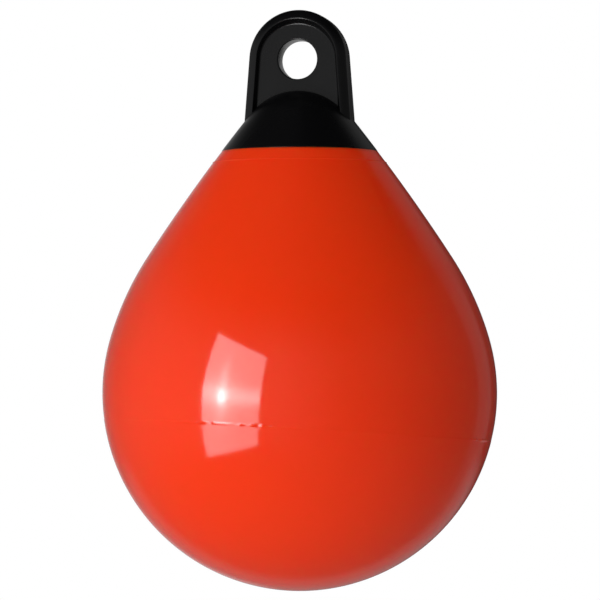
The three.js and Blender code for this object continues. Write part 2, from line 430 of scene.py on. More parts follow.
def bump_at(turns, degrees, half_width):
    """A soft bump at an azimuth, from 0 to 1."""
    apart = np.degrees(turns) - degrees
    apart = (apart + 180) % 360 - 180
    return np.exp(-((apart / half_width) ** 2))


def flash_strength(turns):
    """How strongly the flash stands out at each azimuth."""
    strength = FLASH_LEVEL + FLASH_VARIATION * waves(turns, seed=3, lowest=5, highest=40)
    uneven = 0.8 + 0.3 * waves(turns, seed=8, lowest=30, highest=90)
    teeth = waves(turns, seed=31, lowest=110, highest=320)
    for places, texture in ((FLASH_STRETCHES, uneven), (FLASH_NICKS, 1), (FLASH_RAGGED, teeth)):
        for degrees, half_width, extra in places:
            strength = strength + extra * bump_at(turns, degrees, half_width) * texture
    return np.clip(strength, FLASH_LEAST, FLASH_MOST)


def parting_runs(path, run, turns, drop):
    """Where the parting line crosses each column, as a distance along the outline."""
    level = BALL_CENTRE_Z - drop
    slope = PARTING_SLOPE[0] * np.cos(turns) + PARTING_SLOPE[1] * np.sin(turns)
    above = path[:, 1:] - level - path[:, :1] * slope
    first = np.argmax(above > 0, axis=0)
    column = np.arange(len(turns))
    low, high = above[first - 1, column], above[first, column]
    return run[first - 1] + (run[first] - run[first - 1]) * low / (low - high)


def skin_rows(parting, end, details):
    """Distances along the outline of the skin's rows, which gather along the parting line and the bead."""
    across = np.concatenate([-FLASH_ROWS[::-1], [0], FLASH_ROWS])
    near = across[:, None] * details.flash_width
    low_share = np.linspace(0, 1, ROWS_BELOW, endpoint=False)[:, None]
    high_share = np.linspace(0, 1, ROWS_ABOVE + 1)[1:, None]
    low = low_share * (parting + near[0])
    high = parting + near[-1] + high_share * (end - BEAD_START - parting - near[-1])
    return np.concatenate([low, parting + near, high, end - BEAD_ROWS[:, None] + 0 * parting])


def skin_height(turns, rows, parting, end, details):
    """How far the skin stands out: flash, mismatch of the halves, bead, and long, low waves."""
    apart = (rows - parting) / details.flash_width
    ridge = np.exp(-np.abs(apart) ** FLASH_POWER * FLASH_FALL)
    flash = details.flash_height * flash_strength(turns) * ridge
    mismatch = details.parting_step * np.exp(-np.maximum(apart, 0) / MISMATCH_ABOVE)
    mismatch = mismatch * (apart > -MISMATCH_BELOW)
    bead = details.bead_height * np.exp(-(((end - rows) / BEAD_WIDTH) ** 2))
    roll = waves(turns, seed=21, lowest=3, highest=9) * np.sin(rows * 61)
    roll = roll + waves(turns, seed=22, lowest=4, highest=11) * np.cos(rows * 83)
    sink = details.unevenness * (0.5 + 0.35 * roll) * np.sin(np.pi * rows / end)
    return flash - mismatch + bead - sink


def ball_rings(outline, details):
    """Azimuths and rings of the ball's skin, up to the ring under the cap."""
    turns = np.linspace(0, TAU, BALL_COLUMNS, endpoint=False)
    collar = outline.ball_edge - details.collar_height / outline.shape.flank_radius
    path = outline.skin(collar, OUTLINE_STEPS)
    run = np.concatenate([[0], np.cumsum(np.linalg.norm(np.diff(path, axis=0), axis=1))])
    parting = parting_runs(path, run, turns, details.parting_drop)
    rows = skin_rows(parting, run[-1], details)
    return turns, lifted(path, run, rows, skin_height(turns, rows, parting, run[-1], details))


def lifted(path, run, rows, height):
    """Points (radius, height) at distances along a path, raised along its outward normal."""
    tangent = np.gradient(path, run, axis=0)
    tangent /= np.linalg.norm(tangent, axis=1)[:, None]
    radius = np.interp(rows, run, path[:, 0]) + np.interp(rows, run, tangent[:, 1]) * height
    level = np.interp(rows, run, path[:, 1]) - np.interp(rows, run, tangent[:, 0]) * height
    return np.stack([radius, level], axis=-1)


def neck_profile(outline, details):
    """The recessed ring under the cap, the lip's seat and the hidden neck."""
    shape = outline.shape
    collar = outline.ball_edge - details.collar_height / shape.flank_radius
    step = details.collar_step
    soft = 0.25 * MM / shape.flank_radius
    ring = [
        outline.on_flank(0.25 * step, collar + 0.5 * soft),
        outline.on_flank(0.75 * step, collar + 1.2 * soft),
        outline.on_flank(step, collar + 2 * soft),
    ]
    ring += list(outline.along_flank(step, collar + 3 * soft, outline.ball_edge, steps=6))
    depth = shape.cap_wall + shape.neck_gap
    radius = shape.neck_radius - shape.neck_gap
    neck = outline.flank_and_dome(depth, radius, outline.ball_edge, flank_steps=6, dome_steps=10)
    return np.concatenate([ring, neck])


def build_ball(material):
    outline = Outline(sizes("fender_outline"))
    details = sizes("fender_ball")
    turns, skin = ball_rings(outline, details)
    neck = neck_profile(outline, details)
    neck = np.repeat(neck[:, None, :], len(turns), axis=1)
    flat = np.concatenate([skin, neck])
    rings = np.stack([flat[..., 0] * np.cos(turns), flat[..., 0] * np.sin(turns), flat[..., 1]], axis=-1)
    rings[0] = rings[0].mean(axis=0)
    ball = closed_rings("ball_skin", rings)
    combine(ball, valve_pocket(outline), "DIFFERENCE")
    sharpen(ball, degrees=40)
    finish_piece(ball, "ball_body", material)


def eye_outline(eye, inset, root):
    """Half a turn round the eye's head and its two sides, as (x, z), moved inwards by the inset."""
    radius = eye.head_radius - inset
    half_root = radius / math.cos(eye.side_taper) - root * math.tan(eye.side_taper)
    head = arc((0, 0), radius, eye.side_taper, math.pi - eye.side_taper, EYE_HEAD_STEPS)
    return np.concatenate([[[half_root, root]], head, [[-half_root, root]]])


def eye_loft(name, eye, levels, root):
    """A solid through outlines of the eye, given as (y, inset, draft, drop) from front to back."""
    rings = []
    for y, inset, draft, drop in levels:
        flat = eye_outline(eye, inset, root)
        flat[:, 1] -= drop * np.clip(flat[:, 1] / eye.head_radius, 0, None)
        lean = np.sign(y) * (eye.head_radius - flat[:, 1]) * math.tan(draft)
        rings.append(np.stack([flat[:, 0], y + lean, flat[:, 1]], axis=1))
    count = len(rings[0])
    faces = ring_faces(len(rings), count)
    last = (len(rings) - 1) * count
    faces.append(tuple(reversed(range(count))))
    faces.append(tuple(range(last, last + count)))
    body = new_object(name, np.concatenate(rings), faces)
    body.data.flip_normals()
    return body


def mirrored(levels):
    return [(-y, *rest) for y, *rest in reversed(levels)]


def both_sides(levels):
    return mirrored(levels) + levels


def eye_plate(eye, root):
    """The full plate with rounded outer edges and the fine line of its mould all round."""
    face = eye.web_thickness / 2 + eye.rim_height
    line = eye.mould_line
    edge = arc((0, 0), 1, math.pi, math.pi / 2, steps=12)
    edge = np.sign(edge) * np.abs(edge) ** eye.edge_lean * [eye.edge_round, eye.edge_depth]
    edge += [line + eye.edge_round, face - eye.edge_depth]
    ridge = [(0.06 * MM, 0, 0, 0), (0.16 * MM, 0.35 * line, 0, 0), (0.32 * MM, line, 0, 0)]
    levels = ridge + [(y, inset, eye.rim_draft, 0) for inset, y in edge]
    return eye_loft("plate", eye, both_sides(levels), root)


def eye_pocket(eye, root, side):
    """What is cut from one face of the plate: it leaves a flat web, a fillet, a slope and a rim."""
    web = eye.web_thickness / 2
    face = web + eye.rim_height
    foot = (eye.rim_width + eye.rim_slope, web)
    crest = (eye.rim_width, face)
    start = rounded([(foot[0] + 4 * eye.web_fillet, web), foot, crest], eye.web_fillet, steps=6)[1:-1]
    end = rounded([foot, crest, (crest[0] - 4 * eye.rim_round, face)], eye.rim_round, steps=6)[1:-1]
    wall = np.concatenate([start, end])
    levels = []
    for inset, y in wall:
        share = (y - web) / eye.rim_height
        levels.append((y, inset, share * eye.rim_draft, (1 - share) * eye.top_slope))
    levels.append((face + CUT_PAST, levels[-1][1], eye.rim_draft, 0))
    if side < 0:
        levels = mirrored(levels)
    return eye_loft("pocket", eye, levels, root - CUT_PAST)


def rope_hole(eye):
    """The rope's way through the web, with rounded edges."""
    web = eye.web_thickness / 2
    edge = arc((eye.hole_radius + eye.hole_round, web - eye.hole_round), eye.hole_round,
               math.pi, math.pi / 2, steps=8)
    end = web + CUT_PAST
    upper = np.concatenate([edge, [[edge[-1][0], end], [0, end]]])
    lower = upper[::-1] * [1, -1]
    hole = turned("hole", np.concatenate([lower, upper]), ROUND_STEPS)
    move_mesh(hole, Matrix.Rotation(math.pi / 2, 4, "X"))
    return hole


def cap_blank(outline, lip):
    """The outside of the cap, filled, with its lower edge just broken."""
    shape = outline.shape
    past = shape.cap_wall + CUT_PAST
    turn = lip / shape.flank_radius
    inside = outline.on_flank(past, outline.cap_edge)
    edge = rounded([
        outline.on_flank(past / 2, outline.cap_edge),
        outline.on_flank(0, outline.cap_edge),
        outline.on_flank(0, outline.cap_edge + 4 * turn),
    ], lip)
    start = outline.cap_edge + 5 * turn
    above = outline.flank_and_dome(0, shape.crown_radius, start, flank_steps=40, dome_steps=48)
    return turned("blank", np.concatenate([[[0, inside[1]], inside], edge, above]), ROUND_STEPS)


def cap_hollow(outline):
    shape = outline.shape
    start = outline.cap_edge - (shape.cap_wall + CUT_PAST) / shape.flank_radius
    inside = outline.flank_and_dome(shape.cap_wall, shape.neck_radius, start, flank_steps=12, dome_steps=20)
    return turned("hollow", np.concatenate([[[0, inside[0][1]]], inside]), ROUND_STEPS)


def valve_place(outline):
    """The valve's own place: Z is square to the slope, and zero lies on the slope."""
    valve = sizes("fender_valve")
    turn = outline.cap_edge + valve.from_edge / outline.shape.flank_radius
    point = outline.on_flank(0, turn)
    place = Matrix.Translation((0, point[0], point[1]))
    return place @ Matrix.Rotation(turn - math.pi / 2, 4, "X")


def valve_levels():
    """Heights of the valve's parts from the slope."""
    valve = sizes("fender_valve")
    flange = valve.boss_height - valve.flange_thickness
    head = valve.boss_height - valve.head_thickness
    seal_top = head - valve.gap
    return {
        "flange": flange,
        "barrel_end": flange - valve.barrel_length,
        "head": head,
        "seal_top": seal_top,
        "seal_bottom": seal_top - valve.seal_thickness,
        "seal_seat": seal_top - valve.seal_thickness - valve.gap,
        "shank_bore": valve.shank_radius + valve.gap,
        "head_bore": valve.head_radius + valve.gap,
    }


def valve_boss(outline):
    valve = sizes("fender_valve")
    low = -outline.shape.cap_wall / 2
    radius, high = valve.boss_radius, valve.boss_height
    boss = turned("boss", rounded([(0, low), (radius, low), (radius, high), (0, high)], 0.5 * MM, steps=6))
    move_mesh(boss, valve_place(outline))
    return boss


def valve_pocket(outline):
    """The stepped hole for the valve, and the air's way at its end."""
    valve = sizes("fender_valve")
    level = valve_levels()
    end = level["barrel_end"] - valve.gap
    barrel = valve.barrel_radius + valve.gap
    flange = valve.flange_radius + valve.gap
    top = valve.boss_height + CUT_PAST
    pocket = turned("pocket", [
        (0, end - valve.air_passage),
        (level["shank_bore"], end - valve.air_passage),
        (level["shank_bore"], end),
        (barrel, end),
        (barrel, level["flange"] - valve.gap),
        (flange, level["flange"] - valve.gap),
        (flange, top),
        (0, top),
    ])
    move_mesh(pocket, valve_place(outline))
    return pocket


def build_cap(material):
    outline = Outline(sizes("fender_outline"))
    eye = sizes("fender_eye")
    root = -(eye.to_crown + eye.root_depth)
    plate = eye_plate(eye, root)
    for side in (-1, 1):
        combine(plate, eye_pocket(eye, root, side), "DIFFERENCE")
    combine(plate, rope_hole(eye), "DIFFERENCE")
    cap = cap_blank(outline, eye.lip_round)
    cap.name = "eye_moulding"
    combine(cap, plate, "UNION")
    combine(cap, cap_hollow(outline), "DIFFERENCE")
    combine(cap, valve_boss(outline), "UNION")
    combine(cap, valve_pocket(outline), "DIFFERENCE")
    sharpen(cap)
    finish_piece(cap, "eye_cap", material)


def seat_in_cap(part, node, material):
    """Puts a part of the valve in its place on the cap's slope."""
    sharpen(part)
    move_mesh(part, valve_place(Outline(sizes("fender_outline"))))
    finish_piece(part, node, material)


def build_bush(material):
    valve = sizes("fender_valve")
    level = valve_levels()
    edge = valve.edge_round
    outside = turned("valve_bush", rounded([
        (0, level["barrel_end"]),
        (valve.barrel_radius, level["barrel_end"]),
        (valve.barrel_radius, level["flange"]),
        (valve.flange_radius, level["flange"]),
        (valve.flange_radius, valve.boss_height),
        (0, valve.boss_height),
    ], edge))
    top = valve.boss_height
    mouth = level["head_bore"]
    bore = turned("bore", [
        (0, level["barrel_end"] - CUT_PAST),
        (level["shank_bore"], level["barrel_end"] - CUT_PAST),
        (level["shank_bore"], level["seal_seat"]),
        (mouth, level["seal_seat"]),
        (mouth, top - edge),
        (mouth + 0.3 * edge, top - 0.3 * edge),
        (mouth + edge, top),
        (mouth + edge, top + CUT_PAST),
        (0, top + CUT_PAST),
    ])
    combine(outside, bore, "DIFFERENCE")
    seat_in_cap(outside, "valve_body", material)


def build_washer(material):
    valve = sizes("fender_valve")
    level = valve_levels()
    bore, rim = level["shank_bore"], valve.head_radius
    low, high = level["seal_bottom"], level["seal_top"]
    disc = turned("valve_washer", rounded([(0, low), (rim, low), (rim, high), (0, high)], valve.edge_round))
    start, end = low - CUT_PAST, high + CUT_PAST
    through = turned("through", [(0, start), (bore, start), (bore, end), (0, end)])
    combine(disc, through, "DIFFERENCE")
    seat_in_cap(disc, "valve_seal", material)


def build_plug(material):
    valve = sizes("fender_valve")
    level = valve_levels()
    end = level["head"] - valve.shank_length
    top = valve.boss_height
    plug = turned("valve_plug", rounded([
        (0, end),
        (valve.shank_radius, end),
        (valve.shank_radius, level["head"]),
        (valve.head_radius, level["head"]),
        (valve.head_radius, top),
        (0, top),
    ], 1.6 * valve.edge_round, steps=6))
    half = Vector((valve.head_radius + CUT_PAST, valve.slot_width / 2, (valve.slot_depth + CUT_PAST) / 2))
    centre = Vector((0, 0, top - valve.slot_depth + half.z))
    corners = [centre + Vector((x * half.x, y * half.y, z * half.z))
               for z in (-1, 1) for x, y in ((-1, -1), (1, -1), (1, 1), (-1, 1))]
    faces = ring_faces(2, 4) + [(3, 2, 1, 0), (4, 5, 6, 7)]
    combine(plug, new_object("slot", [corner[:] for corner in corners], faces), "DIFFERENCE")
    bevel = plug.modifiers.new("edges", "BEVEL")
    bevel.width = 0.3 * valve.edge_round
    bevel.segments = 2
    bevel.limit_method = "ANGLE"
    bevel.angle_limit = math.radians(50)
    apply_modifiers(plug)
    seat_in_cap(plug, "valve_screw", material)


def new_group(name, inputs, outputs):
    """A shader node group with named sockets. Inputs are (name, type, default)."""
    group = bpy.data.node_groups.new(name, "ShaderNodeTree")
    for label, kind, default in inputs:
        socket = group.interface.new_socket(name=label, in_out="INPUT", socket_type=kind)
        if default is not None:
            socket.default_value = default
    for label, kind in outputs:
        group.interface.new_socket(name=label, in_out="OUTPUT", socket_type=kind)
    return group, Wiring(group)


class Wiring:
    """Adds nodes to a tree and links them."""

    def __init__(self, tree):
        self.tree = tree

    def add(self, kind, settings=(), **values):
        node = self.tree.nodes.new(kind)
        for name, value in dict(settings).items():
            setattr(node, name, value)
        for name, value in values.items():
            self.feed(node.inputs[name.replace("_", " ")], value)
        return node

    def feed(self, socket, value):
        if isinstance(value, bpy.types.NodeSocket):
            self.tree.links.new(value, socket)
        else:
            socket.default_value = value

    def maths(self, operation, first, second=0.0, clamp=False):
        node = self.tree.nodes.new("ShaderNodeMath")
        node.operation = operation
        node.use_clamp = clamp
        self.feed(node.inputs[0], first)
        self.feed(node.inputs[1], second)
        return node.outputs[0]

    def times(self, first, second, clamp=False):
        return self.maths("MULTIPLY", first, second, clamp)

    def plus(self, first, second):
        return self.maths("ADD", first, second)

    def white_glow(self, strength):
        return self.add("ShaderNodeEmission", Color=(1, 1, 1, 1), Strength=strength)

    def noise(self, vector, scale, detail=2.0, roughness=0.5):
        node = self.add("ShaderNodeTexNoise", Vector=vector, Scale=scale, Detail=detail, Roughness=roughness)
        return node.outputs[0]

    def spread(self, value, low, high, to_low=0.0, to_high=1.0):
        node = self.add("ShaderNodeMapRange", {"interpolation_type": "SMOOTHSTEP"})
        for name, entry in (("Value", value), ("From Min", low), ("From Max", high),
                            ("To Min", to_low), ("To Max", to_high)):
            self.feed(node.inputs[name], entry)
        return node.outputs["Result"]

    def shader_mix(self, factor, first, second):
        node = self.add("ShaderNodeMixShader")
        self.feed(node.inputs[0], factor)
        self.feed(node.inputs[1], first.outputs[0])
        self.feed(node.inputs[2], second.outputs[0])
        return node

    def blend(self, factor, first, second, kind="MIX"):
        node = self.add("ShaderNodeMix", {"data_type": "RGBA", "blend_type": kind})
        self.feed(node.inputs["Factor"], factor)
        colours = [socket for socket in node.inputs if socket.type == "RGBA"]
        self.feed(colours[0], first)
        self.feed(colours[1], second)
        return [socket for socket in node.outputs if socket.type == "RGBA"][0]


FLOAT, COLOUR, VECTOR = "NodeSocketFloat", "NodeSocketColor", "NodeSocketVector"


def skin_group():
    """Surface of moulded plastic: a long soft ripple, an orange-peel texture and a fine grain."""
    group, wire = new_group("Moulded skin", [
        ("Vector", VECTOR, None), ("Ripple", FLOAT, 1.0), ("Peel", FLOAT, 1.0), ("Grain", FLOAT, 1.0),
    ], [("Height", FLOAT)])
    given = wire.add("NodeGroupInput")
    vector = given.outputs["Vector"]
    ripple = wire.noise(vector, scale=38.0, detail=1.0)
    peel = wire.noise(vector, scale=420.0, detail=1.5)
    grain = wire.noise(vector, scale=3400.0, roughness=0.6)
    total = wire.times(ripple, given.outputs["Ripple"])
    total = wire.plus(total, wire.times(peel, given.outputs["Peel"]))
    total = wire.plus(total, wire.times(grain, given.outputs["Grain"]))
    wire.add("NodeGroupOutput", Height=total)
    return group


def mottle_group():
    """Slight unevenness of a pigment, in broad clouds and small ones."""
    group, wire = new_group("Pigment", [
        ("Vector", VECTOR, None), ("Colour", COLOUR, (0.5, 0.5, 0.5, 1)), ("Amount", FLOAT, 0.05),
    ], [("Colour", COLOUR)])
    given = wire.add("NodeGroupInput")
    vector = given.outputs["Vector"]
    broad = wire.noise(vector, scale=14.0, detail=3.0)
    small = wire.noise(vector, scale=190.0, detail=3.0)
    cloud = wire.plus(wire.times(broad, 0.65), wire.times(small, 0.35))
    around = wire.times(wire.maths("SUBTRACT", cloud, 0.5), given.outputs["Amount"])
    level = wire.plus(1.0, around)
    shade = wire.add("ShaderNodeCombineColor", Red=level, Green=level, Blue=level).outputs["Color"]
    wire.add("NodeGroupOutput", Colour=wire.blend(1.0, given.outputs["Colour"], shade, "MULTIPLY"))
    return group


def scuff_group():
    """Fine rubbed marks and settled dust, as a mask from 0 to 1."""
    group, wire = new_group("Handling marks", [
        ("Vector", VECTOR, None), ("Amount", FLOAT, 0.5),
    ], [("Mask", FLOAT)])
    given = wire.add("NodeGroupInput")
    vector = given.outputs["Vector"]
    mapping = wire.add("ShaderNodeMapping", Vector=vector, Scale=(1.0, 1.0, 5.0), Rotation=(0.5, 0.3, 0.0))
    stretched = mapping.outputs["Vector"]
    hairs = wire.spread(wire.noise(stretched, scale=260.0, detail=4.0, roughness=0.7), 0.60, 0.78)
    patches = wire.spread(wire.noise(vector, scale=26.0), 0.42, 0.70)
    dust = wire.spread(wire.noise(vector, scale=1500.0, roughness=0.8), 0.66, 0.80)
    both = wire.maths("MAXIMUM", wire.times(hairs, patches), wire.times(dust, 0.5))
    mask = wire.times(both, given.outputs["Amount"], clamp=True)
    wire.add("NodeGroupOutput", Mask=mask)
    return group


def speck_group():
    """Small pimples that the mould leaves here and there, as a height."""
    group, wire = new_group("Mould specks", [
        ("Vector", VECTOR, None), ("Spacing", FLOAT, 60.0), ("Size", FLOAT, 0.02), ("Share", FLOAT, 0.2),
    ], [("Height", FLOAT)])
    given = wire.add("NodeGroupInput")
    cells = wire.add("ShaderNodeTexVoronoi", Vector=given.outputs["Vector"], Scale=given.outputs["Spacing"])
    chosen = wire.add("ShaderNodeSeparateColor", Color=cells.outputs["Color"]).outputs[0]
    keep = wire.maths("LESS_THAN", chosen, given.outputs["Share"])
    near = wire.maths("DIVIDE", cells.outputs["Distance"], given.outputs["Size"])
    dome = wire.maths("SUBTRACT", 1.0, wire.times(near, near), clamp=True)
    wire.add("NodeGroupOutput", Height=wire.times(dome, keep))
    return group


# Noise scale of the slow drift in gloss, and the roughness that a rubbed mark adds.
DRIFT_SCALE = 17.0
RUBBED_ROUGHNESS = 0.25


class Workshop:
    """Makes the materials from the shared groups."""

    def __init__(self):
        self.skin = skin_group()
        self.mottle = mottle_group()
        self.scuffs = scuff_group()
        self.specks = speck_group()

    def group(self, wire, tree, **values):
        node = wire.add("ShaderNodeGroup", {"node_tree": tree})
        for label, value in values.items():
            wire.feed(node.inputs[label], value)
        return node.outputs[0]

    def moulded(self, name, colour, clouds, gloss, marks, skin, specks=None, speck_height=0.0, **settings):
        """A moulded material. Its roughness drifts between the two values of gloss, with marks on top."""
        made = bpy.data.materials.new(name)
        made.use_nodes = True
        wire = Wiring(made.node_tree)
        surface = made.node_tree.nodes["Principled BSDF"]
        surface.inputs["IOR"].default_value = 1.5
        for label, value in settings.items():
            surface.inputs[label.replace("_", " ")].default_value = value
        place = wire.add("ShaderNodeTexCoord").outputs["Object"]

        paint = self.group(wire, self.mottle, Vector=place, Colour=(*colour, 1), Amount=clouds)
        wire.feed(surface.inputs["Base Color"], paint)

        drift = wire.spread(wire.noise(place, DRIFT_SCALE), 0.3, 0.7, *gloss)
        rubbed = self.group(wire, self.scuffs, Vector=place, Amount=marks)
        roughness = wire.plus(drift, wire.times(rubbed, RUBBED_ROUGHNESS))
        wire.feed(surface.inputs["Roughness"], roughness)

        height = self.group(wire, self.skin, Vector=place, **skin)
        if specks:
            pimples = self.group(wire, self.specks, Vector=place, **specks)
            height = wire.plus(height, wire.times(pimples, speck_height))
        bump = wire.add("ShaderNodeBump", Height=height, Distance=MM, Strength=1.0)
        wire.feed(surface.inputs["Normal"], bump.outputs["Normal"])
        return made

    def red_pvc(self):
        finish = sizes("fender_finish")
        return self.moulded(
            "soft_red_pvc", finish.red, clouds=0.08, gloss=(0.085, 0.115), marks=0.22,
            skin={"Ripple": 0.020, "Peel": 0.0022, "Grain": 0.0002},
            specks={"Spacing": 52.0, "Size": 0.030, "Share": 0.15}, speck_height=0.15,
            Subsurface_Weight=1.0, Subsurface_Scale=finish.glow_depth, Subsurface_Radius=(1.0, 0.10, 0.04),
        )

    def black_pvc(self):
        return self.moulded(
            "black_pvc", sizes("fender_finish").black, clouds=0.30, gloss=(0.24, 0.31), marks=0.35,
            skin={"Ripple": 0.04, "Peel": 0.010, "Grain": 0.0045},
            specks={"Spacing": 90.0, "Size": 0.03, "Share": 0.08}, speck_height=0.06,
        )

    def hard_plastic(self, name, colour, low, high):
        skin = {"Ripple": 0.0, "Peel": 0.006, "Grain": 0.004}
        return self.moulded(name, colour, clouds=0.10, gloss=(low, high), marks=0.4, skin=skin)

    def seal_rubber(self):
        skin = {"Ripple": 0.0, "Peel": 0.012, "Grain": 0.010}
        rubber = sizes("fender_finish").rubber
        return self.moulded("seal_rubber", rubber, clouds=0.25, gloss=(0.62, 0.75), marks=0.5, skin=skin)


@functools.cache
def workshop():
    """The shared node groups, made on first use."""
    return Workshop()


def heading(azimuth, elevation):
    """A direction from the ball. Azimuth 0 is towards the camera, and more is to its right."""
    turn = sizes("fender_studio").camera_azimuth
    towards = Vector((math.sin(turn), -math.cos(turn), 0))
    right = Vector((math.cos(turn), math.sin(turn), 0))
    azimuth, elevation = math.radians(azimuth), math.radians(elevation)
    level = towards * math.cos(azimuth) + right * math.sin(azimuth)
    return level * math.cos(elevation) + Vector((0, 0, math.sin(elevation)))


def ball_centre():
    return Vector((0, 0, BALL_CENTRE_Z))


def build_camera():
    studio = sizes("fender_studio")
    data = bpy.data.cameras.new("camera")
    data.lens = data.sensor_width * studio.camera_distance / studio.frame_width
    camera = bpy.data.objects.new("camera", data)
    bpy.context.scene.collection.objects.link(camera)
    side = heading(90, 0) * studio.frame_side
    camera.location = Vector((0, 0, studio.frame_middle)) + side + heading(0, 0) * studio.camera_distance
    camera.rotation_euler = (math.pi / 2, 0, studio.camera_azimuth)
    bpy.context.scene.camera = camera


def soft_light(name, azimuth, elevation, distance, width, height, share_of_full):
    """A soft light that isn't seen in the gloss, at a share of the light that shows full colour."""
    data = bpy.data.lights.new(name, "AREA")
    data.shape = "RECTANGLE"
    data.size = width
    data.size_y = height
    data.energy = share_of_full * math.pi ** 2 * distance ** 2
    light = bpy.data.objects.new(name, data)
    bpy.context.scene.collection.objects.link(light)
    light.location = ball_centre() + heading(azimuth, elevation) * distance
    light.rotation_euler = (-heading(azimuth, elevation)).to_track_quat("-Z", "Y").to_euler()
    light.visible_camera = False
    light.visible_glossy = False


def is_seen(wire):
    """1 for rays that look at the background, in the picture or in a reflection."""
    path = wire.add("ShaderNodeLightPath").outputs
    seen = wire.maths("MAXIMUM", path["Is Camera Ray"], path["Is Glossy Ray"])
    return wire.maths("MAXIMUM", seen, path["Is Transmission Ray"])


def build_world():
    """Even light on the object, and a white background."""
    studio = sizes("fender_studio")
    world = bpy.data.worlds.new("studio")
    bpy.context.scene.world = world
    world.use_nodes = True
    world.node_tree.nodes.clear()
    wire = Wiring(world.node_tree)
    strength = wire.spread(is_seen(wire), 0.0, 1.0, studio.ambient, 1.0)
    white = wire.add("ShaderNodeBackground", Color=(1, 1, 1, 1), Strength=strength)
    wire.add("ShaderNodeOutputWorld", Surface=white.outputs[0])


def empty_material(name):
    made = bpy.data.materials.new(name)
    made.use_nodes = True
    made.node_tree.nodes.clear()
    return made, Wiring(made.node_tree)


def seen_only_in_gloss(card):
    card.visible_camera = False
    card.visible_diffuse = False
    card.visible_shadow = False
    card.visible_transmission = False
    card.visible_volume_scatter = False


# Brightness that the floor gains in the camera's view, so that it looks white, then the floor's radius and
# its number of sides.
FLOOR_LIFT = 0.48
FLOOR_REACH = 0.80
FLOOR_STEPS = 64


def floor_material():
    """Pale floor. The camera sees it as white as the background, apart from the object's shadow."""
    studio = sizes("fender_studio")
    made, wire = empty_material("pale_floor")
    place = wire.add("ShaderNodeTexCoord").outputs["Object"]
    grain = wire.noise(place, scale=900.0)
    bump = wire.add("ShaderNodeBump", Height=grain, Distance=0.00005, Strength=0.3)
    matt = wire.add("ShaderNodeBsdfDiffuse", Color=(*studio.floor, 1), Normal=bump.outputs["Normal"])
    camera = wire.add("ShaderNodeLightPath").outputs["Is Camera Ray"]
    lift = wire.white_glow(wire.times(camera, FLOOR_LIFT))
    lifted_floor = wire.add("ShaderNodeAddShader")
    wire.feed(lifted_floor.inputs[0], matt.outputs[0])
    wire.feed(lifted_floor.inputs[1], lift.outputs[0])
    white = wire.white_glow(1.0)
    away = wire.add("ShaderNodeVectorMath", {"operation": "LENGTH"})
    wire.feed(away.inputs[0], place)
    far = wire.spread(away.outputs["Value"], 0.5 * FLOOR_REACH, 0.9 * FLOOR_REACH)
    faded = wire.shader_mix(wire.times(far, camera), lifted_floor, white)
    below = wire.times(wire.add("ShaderNodeNewGeometry").outputs["Backfacing"], camera)
    clear = wire.add("ShaderNodeBsdfTransparent")
    wire.add("ShaderNodeOutputMaterial", Surface=wire.shader_mix(below, faded, clear).outputs[0])
    return made


def build_floor():
    studio = sizes("fender_studio")
    turns = np.linspace(0, TAU, FLOOR_STEPS, endpoint=False)
    points = [(FLOOR_REACH * math.cos(turn), FLOOR_REACH * math.sin(turn), 0.0) for turn in turns]
    floor = new_object("floor", points, [tuple(range(FLOOR_STEPS))])
    floor.location.z = CAD_BOX[0][2] - studio.floor_drop
    floor.data.materials.append(floor_material())
    floor.visible_glossy = False


# Radius of the shell that stands for the room in the gloss.
ROOM_RADIUS = 3.0

# Brightness of the room in the gloss, by azimuth in degrees from the camera, more being to its right.
ROOM = (
    (-180, 0.25), (-174, 0.60), (-165, 0.40), (-156, 0.19), (-131, 0.15), (-105, 0.27), (-85, 0.34),
    (-40, 0.36), (-12, 0.36), (0, 0.27), (13, 0.18), (26, 0.10), (60, 0.09), (100, 0.09), (122, 0.08),
    (126, 0.17), (143, 0.15), (148, 0.04), (172, 0.04), (180, 0.25),
)

# Brightness of the ground under the room, of the pale wall low behind, and of the strip on the right.
GROUND_GLOW = 0.13
BEHIND_GLOW = 0.26
STRIP_GLOW = 0.14


